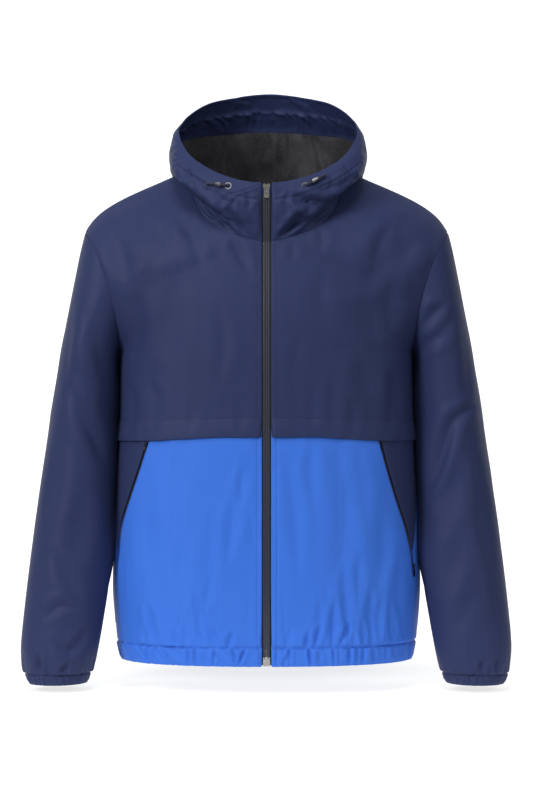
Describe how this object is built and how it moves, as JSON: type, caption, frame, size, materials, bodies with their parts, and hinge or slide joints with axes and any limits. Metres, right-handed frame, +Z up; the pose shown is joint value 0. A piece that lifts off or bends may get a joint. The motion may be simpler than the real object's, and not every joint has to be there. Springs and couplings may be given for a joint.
{
  "type": "windbreaker jacket",
  "caption": "Hooded windbreaker jacket with a full front zip, filled out as worn, with slanted zip pockets, a contrasting lower body, and gathered cuffs and hem.",
  "frame": {"origin": "midway between the two neck points and level with them, where the wearer's shoulders hold the jacket", "axes": "+X to the wearer's left, -Y out of the front, +Z up"},
  "size_m": [0.6804, 0.2938, 0.8406],
  "materials": {
    "navy_shell": "light satin-faced nylon",
    "blue_shell": "light satin-faced nylon",
    "lining": "brushed knit",
    "zip_tape": "woven tape with moulded teeth",
    "nickel": "satin",
    "gunmetal": "dark satin",
    "braid": "round braid"
  },
  "bodies": {
    "garment": {"front_upper_left": "navy_shell", "front_upper_right": "navy_shell", "back_upper": "navy_shell", "pocket_wedge_left": "navy_shell", "pocket_wedge_right": "navy_shell", "sleeve_left_upper": "navy_shell", "sleeve_left_lower": "navy_shell", "sleeve_right_upper": "navy_shell", "sleeve_right_lower": "navy_shell", "cuff_left": "navy_shell", "cuff_right": "navy_shell", "hood_side_left": "navy_shell", "hood_side_right": "navy_shell", "hood_centre": "navy_shell", "hood_facing": "navy_shell", "hood_lining": "lining", "front_lower_left": "blue_shell", "front_lower_right": "blue_shell", "back_lower": "blue_shell", "hem_band": "blue_shell", "zip_tape_left": "zip_tape", "zip_tape_right": "zip_tape", "pocket_zip_left": "zip_tape", "pocket_zip_right": "zip_tape", "zip_slider": "nickel", "zip_box": "nickel", "eyelet_left": "nickel", "eyelet_right": "nickel", "pocket_slider_left": "gunmetal", "pocket_slider_right": "gunmetal", "cord_lock_left": "gunmetal", "cord_lock_right": "gunmetal", "cord_left": "braid", "cord_right": "braid", "cord_tail_left": "braid", "cord_tail_right": "braid"},
    "zip_pull": {"zip_pull": "nickel"},
    "pocket_pull_left": {"pocket_pull_left": "gunmetal"},
    "pocket_pull_right": {"pocket_pull_right": "gunmetal"}
  },
  "joints": [
    {"name": "zip_pull_swing", "type": "hinge", "parent": "garment", "child": "zip_pull", "pos_m": [0, -0.10126, -0.0394], "axis": [-1, 0, 0], "range_deg": [0, 150]},
    {"name": "pocket_pull_left_swing", "type": "hinge", "parent": "garment", "child": "pocket_pull_left", "pos_m": [0.20446, -0.05007, -0.55933], "axis": [-0.4679, -0.8824, -0.049], "range_deg": [0, 90]},
    {"name": "pocket_pull_right_swing", "type": "hinge", "parent": "garment", "child": "pocket_pull_right", "pos_m": [-0.16527, -0.08508, -0.3891], "axis": [-0.7314, 0.5836, 0.3527], "range_deg": [0, 90]}
  ]
}
